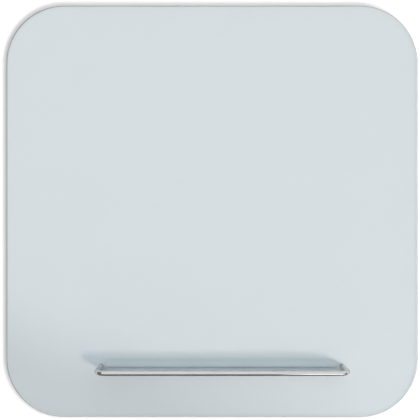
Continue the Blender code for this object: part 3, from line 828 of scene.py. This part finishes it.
def tube_path():
    """The tube's centreline from the left end, round both bends, to the right end."""
    inner_x = arm_reach - BEND_RADIUS
    inner_y = bar_y + BEND_RADIUS
    points = [(-arm_reach, tube_high.y)]
    points += arc((-inner_x, inner_y), BEND_RADIUS, math.pi, 1.5 * math.pi, BEND_CUTS)
    points += arc((inner_x, inner_y), BEND_RADIUS, 1.5 * math.pi, 2 * math.pi, BEND_CUTS)
    points.append((arm_reach, tube_high.y))
    return [(tray_middle + x, y, tube_axis_z) for x, y in points]


CHROME = new_material("polished_chrome", (0.62, 0.62, 0.62), 0.04, 1.0)
wiped = effect(CHROME, MOTTLE, 0.02)
colour_by(wiped, (0.65, 0.645, 0.64), (0.61, 0.61, 0.61))
roughness_by(wiped, 0.03, 0.09)
bump_by(effect(CHROME, FINE_LINES, 0.03, 0.3 * MM), 0.0006 * MM)

chain = tube_path()
mesh = bpy.data.meshes.new("tray_tube_bent")
mesh.from_pydata(chain, [(index, index + 1) for index in range(len(chain) - 1)], [])
tube = new_object("tray_tube_bent", mesh)
run_tree(tube, build_tube_tree(), {"Radius": TUBE_RADIUS, "Sides": TUBE_SIDES, "Material": CHROME})
modify(tube, "SOLIDIFY", thickness=TUBE_WALL, offset=-1)
smooth(tube, math.radians(50))
dress(tube, CHROME, "pen_tray", "chrome_tube", "tray_tube")

# %% [markdown]
# ## The shelf
# The shelf is one sheet, 1.2 mm thick, folded down at the back to carry the magnets, with its two front
# corners cut round to follow the tube's bends. It is satin polished, with hairlines along its length.
# The fold is an arc in the section, the section is drawn out along X, and a narrow bevel breaks the cut
# edges, because a real sheet's edge always catches a thread of light.

# %% Fold the shelf
shelf_low, shelf_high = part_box("tray_shelf")
SHEET = 1.2 * MM
FOLD_INNER = 1.5 * MM
FRONT_CORNER = 17.2 * MM
CUT_BREAK = 0.15 * MM


def shelf_section():
    """The folded section as (y, z) points, round the sheet's thickness."""
    outer = FOLD_INNER + SHEET
    middle = (shelf_high.y - outer, shelf_high.z - outer)
    points = [(shelf_low.y, shelf_high.z)]
    points += arc(middle, outer, math.pi / 2, 0, 12)
    points += [(shelf_high.y, shelf_low.z), (shelf_high.y - SHEET, shelf_low.z)]
    points += arc(middle, FOLD_INNER, 0, math.pi / 2, 12)
    points.append((shelf_low.y, shelf_high.z - SHEET))
    return points


def folded_shelf():
    """The section drawn out along X, with the front corners rounded and the cut edges broken."""
    work = bmesh.new()
    section = shelf_section()
    skin(work, [[(x, y, z) for y, z in section] for x in (shelf_low.x, shelf_high.x)])
    near = 0.01 * MM
    corners = []
    for edge in work.edges:
        first, second = (vertex.co for vertex in edge.verts)
        in_front = max(abs(first.y - shelf_low.y), abs(second.y - shelf_low.y)) < near
        if in_front and abs(first.x - second.x) < near:
            corners.append(edge)
    bmesh.ops.bevel(work, geom=corners, offset=FRONT_CORNER, segments=16, profile=0.5, affect="EDGES")
    made = from_bmesh("tray_shelf_folded", work)
    angle = math.radians(60)
    return modify(made, "BEVEL", width=CUT_BREAK, segments=2, limit_method="ANGLE", angle_limit=angle)


SATIN = new_material("satin_steel", (0.66, 0.68, 0.69), 0.40, 1.0)
hairlines = effect(SATIN, FINE_LINES, 0.06, 0.16 * MM)
colour_by(hairlines, (0.78, 0.80, 0.81), (0.86, 0.875, 0.88))
roughness_by(effect(SATIN, MOTTLE, 0.06), 0.38, 0.44)
bump_by(hairlines, 0.0015 * MM)
shelf = smooth(folded_shelf(), math.radians(50))
dress(shelf, SATIN, "pen_tray", "satin_shelf", "tray_shelf")

# %% [markdown]
# ## Welds between the shelf and the tube
# Short tack welds hold the sheet to the tube from below. They repeat along the bar and the arms, so the
# same tree stands them on points. One bead is a low ridge with ripples, as a torch leaves when it stops
# and goes on.

# %% Tack welds
WELD_HALF = 5 * MM
WELD_RADIUS = 1.3 * MM
WELD_RIPPLES = 7
WELD_STEPS = 56
WELD_SIDES = 14
WELD_RIPPLE = 0.1
WELD_FLATNESS = 0.8
WELD_BELOW = 0.5 * MM
WELD_INSIDE = 0.2 * MM
BAR_WELDS = (-0.84, -0.5, -0.17, 0.17, 0.5, 0.84)
ARM_WELDS = (-0.036, -0.060)


def weld_bead(along_x):
    """A rippled bead, tapered at both ends, along X or Y."""
    rings = []
    for step in range(1, WELD_STEPS):
        share = 2 * step / WELD_STEPS - 1
        taper = math.sqrt(max(0.02, 1 - share ** 4))
        ripple = 1 - WELD_RIPPLE + WELD_RIPPLE * math.cos(share * math.pi * WELD_RIPPLES)
        radius = WELD_RADIUS * taper * ripple
        here = share * WELD_HALF
        ring = []
        for angle in angles_round(WELD_SIDES):
            across, rise = radius * math.cos(angle), WELD_FLATNESS * radius * math.sin(angle)
            ring.append((here, across, rise) if along_x else (across, here, rise))
        rings.append(ring)
    return smooth(skinned("weld_pattern", rings), math.radians(80))


weld_z = shelf_high.z - SHEET - WELD_BELOW
bar_welds = [(tray_middle + share * arm_reach, shelf_low.y + WELD_INSIDE, weld_z) for share in BAR_WELDS]
arm_sides = (shelf_low.x + WELD_INSIDE, shelf_high.x - WELD_INSIDE)
arm_welds = [(x, y, weld_z) for x in arm_sides for y in ARM_WELDS]
for name, along_x, places in (("tray_welds_bar", True, bar_welds), ("tray_welds_arms", False, arm_welds)):
    welds = repeated(name, weld_bead(along_x), places, SATIN)
    dress(welds, SATIN, "pen_tray", "chrome_tube")

# %% [markdown]
# ## The magnet row
# Eight nickel-plated bar magnets sit in the windows of a black carrier, with a soft facing between them
# and the glass. They are the same block eight times, with softly rounded edges from the plating.

# %% Magnets, carrier and facing
NICKEL = new_material("nickel_plate", (0.70, 0.68, 0.63), 0.18, 1.0)
plated = effect(NICKEL, MOTTLE, 5 * MM)
colour_by(plated, (0.66, 0.64, 0.60), (0.74, 0.72, 0.68))
roughness_by(plated, 0.12, 0.26)

CARRIER = new_material("carrier_plastic", (0.03, 0.03, 0.032), 0.5)
moulded = effect(CARRIER, GRAIN, 0.45 * MM)
colour_by(moulded, (0.02, 0.02, 0.022), (0.042, 0.042, 0.044))
roughness_by(moulded, 0.4, 0.6)
bump_by(moulded, 0.015 * MM)
give(CARRIER, "magnet_carrier")
give(RUBBER, "magnet_facing")

MAGNETS = ["magnet_%d" % index for index in range(1, 9)]
MAGNET_CORNER = 0.8 * MM
# Where the rings stand, as shares of the thickness, and how far in they lie, in millimetres.
MAGNET_RINGS = ((-0.5, 0.35), (-0.42, 0.08), (-0.3, 0), (0.3, 0), (0.42, 0.08), (0.5, 0.35))
magnet_low, magnet_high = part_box("magnet_1")
magnet_size = magnet_high - magnet_low
rings = []
for share, inset in MAGNET_RINGS:
    half_width, half_height = magnet_size.x / 2 - inset * MM, magnet_size.z / 2 - inset * MM
    y = share * magnet_size.y
    rings.append(rounded_ring(half_width, half_height, MAGNET_CORNER, 8, y, Vector((0, 0, 0))))
magnet = smooth(skinned("magnet_pattern", rings), math.radians(60))
magnets = repeated("tray_magnets", magnet, [box_middle(name) for name in MAGNETS], NICKEL)
dress(magnets, NICKEL, "pen_tray", "magnet", *MAGNETS)

# %% [markdown]
# The end plugs close the tube with a rounded rubber cap that rests on the glass.

# %% End plugs
CAP_THICKNESS = 2 * MM
CAP_EDGE = 0.4 * MM
CAP_BREAK = 0.1 * MM
stem = TUBE_RADIUS - TUBE_WALL - EDGE_BREAK
for name in ("tray_end_plug_left", "tray_end_plug_right"):
    low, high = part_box(name)
    centre = (low + high) / 2
    under = high.y - CAP_THICKNESS
    profile = [(0, high.y)] + arc((TUBE_RADIUS - CAP_EDGE, high.y - CAP_EDGE), CAP_EDGE, math.pi / 2, 0, 6)
    profile += [(TUBE_RADIUS, under + CAP_BREAK), (TUBE_RADIUS - CAP_BREAK, under), (stem, under)]
    profile += [(stem, low.y + CAP_EDGE), (stem - CAP_EDGE, low.y), (0, low.y)]
    made = turned(name + "_moulded", profile, ROUND_SIDES)
    made.data.transform(Matrix.Translation((centre.x, 0, centre.z)))
    dress(smooth(made), RUBBER, "pen_tray", "rubber", name)

# %% [markdown]
# ## The stage
# The board hangs on a white wall above a pale floor, both plain and matt. The picture's background is
# pure white, so what is seen of them gets a small glow on top of their own colour. The narrow shade round
# the board is painted on the wall, by the distance from a rounded outline that is a little smaller than
# the board and lies a little to the left and higher. From behind the wall is clear, because the rails,
# screws and plugs are looked at from there too. The floor ends at the wall and casts no shadow, because
# the key light comes from lower down.

# %% Wall and floor
STAGE_WHITE = (0.93, 0.93, 0.93)
GLOW = 0.16
WALL_HALF_WIDTH = 6.0
WALL_TOP = 5.0
FLOOR_Z = -1.75
FLOOR_BOUNCE = 0.65
FLOOR_BACK = 0.0
FLOOR_FRONT = -2.2
WALL_Y = 0.3 * MM
# The board's shadow on the wall is painted: RIM_SHADE is its grey right beside the board, and the rim
# values shape where it fades out.
RIM_SHADE = (0.465, 0.465, 0.465)
RIM_MARGINS = (-1 * MM, -16 * MM, 0.0, -9 * MM)
RIM_RADIUS = 131 * MM
RIM_START = 8 * MM
RIM_END = 25 * MM


def seen_rays(tree):
    """1 for the rays that see a thing, directly, in a reflection or through glass."""
    rays = node(tree, "ShaderNodeLightPath").outputs
    direct = maths(tree, "MAXIMUM", rays["Is Camera Ray"], rays["Is Glossy Ray"])
    return maths(tree, "MAXIMUM", direct, rays["Is Transmission Ray"])


def painted_shadow_mask(tree):
    """The painted shadow round the board: 0 right beside the board and 1 away from it, from the distance to
    a rounded outline.
    """
    left, right, top, bottom = RIM_MARGINS
    middle = BOARD_MIDDLE + Vector(((right - left) / 2, WALL_Y, (top - bottom) / 2))
    straight = BOARD_SIZE / 2 - RIM_RADIUS
    flat = (straight + (left + right) / 2, 0, straight + (top + bottom) / 2)
    where = node(tree, "ShaderNodeTexCoord").outputs["Object"]
    steps = (("SUBTRACT", middle), ("ABSOLUTE", None), ("SUBTRACT", flat), ("MAXIMUM", (0, 0, 0)))
    for operation, value in steps:
        inputs = {0: where} if value is None else {0: where, 1: value}
        where = node(tree, "ShaderNodeVectorMath", inputs, operation=operation).outputs[0]
    away = node(tree, "ShaderNodeVectorMath", {0: where}, operation="LENGTH")
    mask = ranged(away.outputs["Value"], 0, 1, RIM_RADIUS + RIM_START, RIM_RADIUS + RIM_END)
    mask.node.interpolation_type = "SMOOTHSTEP"
    return mask


def stage_material(name, see_through_back, bounce=1.0):
    """Matt white with a small glow where it is seen. Bounce is the share of its light that it passes on."""
    made = new_material(name, STAGE_WHITE, 0.9, more={"Specular IOR Level": 0.1})
    tree = made.node_tree
    seen = seen_rays(tree)
    # On the wall the board's shadow is painted into the seen colour.
    paint = blended(painted_shadow_mask(tree), RIM_SHADE, STAGE_WHITE) if see_through_back else STAGE_WHITE
    colour_by(seen, [channel * bounce for channel in STAGE_WHITE], paint)
    inputs = {"Color": (1, 1, 1), "Strength": maths(tree, "MULTIPLY", seen, GLOW)}
    glow = node(tree, "ShaderNodeEmission", inputs)
    both = node(tree, "ShaderNodeAddShader", {0: principled(tree).outputs[0], 1: glow.outputs[0]})
    surface = both.outputs[0]
    if see_through_back:
        clear = node(tree, "ShaderNodeBsdfTransparent")
        behind = node(tree, "ShaderNodeNewGeometry").outputs["Backfacing"]
        shadow = node(tree, "ShaderNodeLightPath").outputs["Is Shadow Ray"]
        surface = either(maths(tree, "MAXIMUM", behind, shadow), surface, clear.outputs[0])
    show(made, surface)
    return made


def rectangle(low, high):
    """The four corners of a rectangle, as pairs."""
    return [low, (high[0], low[1]), high, (low[0], high[1])]


def stage_sheet(name, corners, material):
    """A flat sheet of the stage, whose front is where its corners run anticlockwise."""
    mesh = bpy.data.meshes.new(name)
    mesh.from_pydata(corners, [], [tuple(range(len(corners)))])
    mesh.materials.append(material)
    made = new_object(name, mesh)
    return made


wall_corners = rectangle((-WALL_HALF_WIDTH, FLOOR_Z), (WALL_HALF_WIDTH, WALL_TOP))
wall_paint = stage_material("wall_paint", True)
stage_sheet("wall", [(x, WALL_Y, z) for x, z in wall_corners], wall_paint)
floor_corners = rectangle((-WALL_HALF_WIDTH, FLOOR_FRONT), (WALL_HALF_WIDTH, FLOOR_BACK))
floor_paint = stage_material("floor_paint", False, FLOOR_BOUNCE)
floor = stage_sheet("floor", [(x, y, FLOOR_Z) for x, y in floor_corners], floor_paint)
floor.visible_shadow = False
print("stage: wall at y", WALL_Y, "and floor at z", FLOOR_Z)

# %% [markdown]
# ## Light
# The shadows tell where the light stands. The tray's shadow falls up and to the left, so the key light
# stands far off in front, to the right and lower than the board. It is taller than it is wide, so it is
# made of two lamps, one above the other. A fill from the front, slightly above, evens out the glass. All
# three stay out of reflections, or their discs would show in the glass. The sky is dim, and brighter
# above and to the right.
#
# Chrome shows little but what stands round it, so cards that only reflections notice give it its dark and
# light lines. One more card, a thin grey, acts only on light that has passed through the glass, and so
# lays the soft shade low on the left of the white film without dimming the chrome or the wall.

# %% Lamps
KEY_DIRECTIONS = {
    "key_high": Vector((0.74, -1.0, -0.30)),
    "key_low": Vector((0.74, -1.0, -0.43)),
}
KEY_WIDTH = math.radians(8)
KEY_STRENGTH = 0.73
KEY_COLOUR = (1.0, 0.785, 0.725)
FILL_DIRECTION = Vector((0.0, -1.0, 0.12)).normalized()
FILL_WIDTH = math.radians(12)
FILL_STRENGTH = 0.73
FILL_COLOUR = (0.938, 1.084, 1.149)
BACK_PLACE = Vector((1.2, 2.6, 1.0))
BACK_TARGET = Vector((0, 0, -0.28))
BACK_SIZE = 1.6
BACK_POWER = 60


def new_lamp(name, kind, power, colour):
    """A lamp of one kind."""
    data = bpy.data.lights.new(name, kind)
    data.energy = power
    data.color = colour
    return new_object(name, data)


def far_lamp(name, direction, width, strength, colour):
    """A lamp so far off that its light is parallel, as wide as the angle, and kept out of reflections."""
    lamp = new_lamp(name, "SUN", strength, colour)
    lamp.data.angle = width
    lamp.rotation_euler = direction.to_track_quat("Z", "Y").to_euler()
    lamp.visible_glossy = False
    lamp.visible_transmission = False


for name, direction in KEY_DIRECTIONS.items():
    far_lamp(name, direction, KEY_WIDTH, KEY_STRENGTH, KEY_COLOUR)
far_lamp("fill", FILL_DIRECTION, FILL_WIDTH, FILL_STRENGTH, FILL_COLOUR)
back_lamp = new_lamp("behind", "AREA", BACK_POWER, (1, 1, 1))
back_lamp.data.size = BACK_SIZE
back_lamp.location = BACK_PLACE
back_lamp.rotation_euler = (BACK_TARGET - BACK_PLACE).to_track_quat("-Z", "Y").to_euler()
print("key lamps", KEY_STRENGTH, "each and", round(math.degrees(KEY_WIDTH)), "degrees wide")

# %% Cards
# The card below runs from the glass outwards and falls away. Its corners are (x, distance from the glass).
CARD_TOP = -0.795
CARD_FALL = 0.36
CARD_BELOW = [(-1.2, 0.01), (0.9, 0.01), (0.9, 0.14), (0.22, 0.20), (0.10, 0.40), (-1.2, 0.40)]
# The side cards stand upright at an x. Their low and high corners are (y, z).
CARD_LEFT = (-1.1, (-0.01, -1.2), (-1.0, 0.5))
CARD_RIGHT = (1.15, (-0.1, -1.1), (-0.6, -0.52))
# The patches lie just above the floor, the lit one highest. Their corners are (x, y).
PATCH_RISE = 0.02
DARK_PATCH = [(-2.5, -2.8), (0.45, -2.8), (0.75, -1.8), (0.75, -0.6), (-2.5, -0.6)]
LIT_PATCH = [(0.80, -2.8), (1.9, -2.8), (1.9, -1.3), (0.36, -1.3)]
LIT_STRENGTH = 1.8
# The grey shade stands in front of the glass. Its corners are (x, z).
SHADE_OUT = 0.35
SHADE_DENSITY = 0.29
SHADE_EDGE = [(-1.2, -0.309), (-1.2, -1.4), (0.6, -1.4), (0.6, -0.939)]


def card(name, corners, material, mirrored=True):
    """A card that shows in reflections only, or one that only keeps soft light away."""
    made = stage_sheet(name, corners, material)
    made.visible_camera = False
    made.visible_transmission = False
    made.visible_glossy = mirrored
    made.visible_diffuse = not mirrored
    made.visible_shadow = not mirrored


def gauze(name, density):
    """A thin grey that dims only the light that is on its way through the glass."""
    made = new_material(name, (0.02, 0.02, 0.02), 0.9)
    tree = made.node_tree
    layers = node(tree, "ShaderNodeLightPath").outputs["Transparent Depth"]
    share = maths(tree, "MULTIPLY", maths(tree, "GREATER_THAN", layers, 0.5), density)
    clear = node(tree, "ShaderNodeBsdfTransparent")
    show(made, either(share, clear.outputs[0], principled(tree).outputs[0]))
    return made


BLACK_CARD = new_material("black_card", (0.20, 0.20, 0.20), 0.9)
shining = {"Emission Color": (1, 1, 1), "Emission Strength": LIT_STRENGTH}
LIT_CARD = new_material("lit_card", (0.8, 0.8, 0.8), 0.9, more=shining)

falling = [(x, GLASS_FRONT_Y - out, CARD_TOP - CARD_FALL * out) for x, out in CARD_BELOW]
card("card_below", falling, BLACK_CARD)
for name, (x, low, high) in (("card_left", CARD_LEFT), ("card_right", CARD_RIGHT)):
    card(name, [(x, y, z) for y, z in rectangle(low, high)], BLACK_CARD)
card("card_on_floor", [(x, y, FLOOR_Z + PATCH_RISE) for x, y in DARK_PATCH], BLACK_CARD)
card("card_of_light", [(x, y, FLOOR_Z + 2 * PATCH_RISE) for x, y in LIT_PATCH], LIT_CARD)
shade_corners = [(x, GLASS_FRONT_Y - SHADE_OUT, z) for x, z in SHADE_EDGE]
card("shade_below", shade_corners, gauze("shade_gauze", SHADE_DENSITY), mirrored=False)
print("six cards, the shade", SHADE_OUT, "m in front of the glass")

# %% Sky
SKY_BRIGHT = (0.60, 0.62, 0.65)
SKY_DIM = (0.28, 0.29, 0.30)
SKY_SIDE = (0.30, 0.0, 0.90)

world = bpy.data.worlds.new("sky")
bpy.context.scene.world = world
world.use_nodes = True
tree = world.node_tree
where = node(tree, "ShaderNodeTexCoord").outputs["Generated"]
side = node(tree, "ShaderNodeVectorMath", {0: where, 1: SKY_SIDE}, operation="DOT_PRODUCT")
lit = ranged(side.outputs["Value"], 0, 1, -0.5, 0.5)
sky = blended(seen_rays(tree), blended(lit, SKY_DIM, SKY_BRIGHT), (1, 1, 1))
join(sky, tree.nodes["Background"].inputs["Color"])
feed(1.0, tree.nodes["Background"].inputs["Strength"])
bpy.context.scene.view_settings.view_transform = "Standard"
print("sky from", SKY_DIM, "to", SKY_BRIGHT, "and white where it is seen")
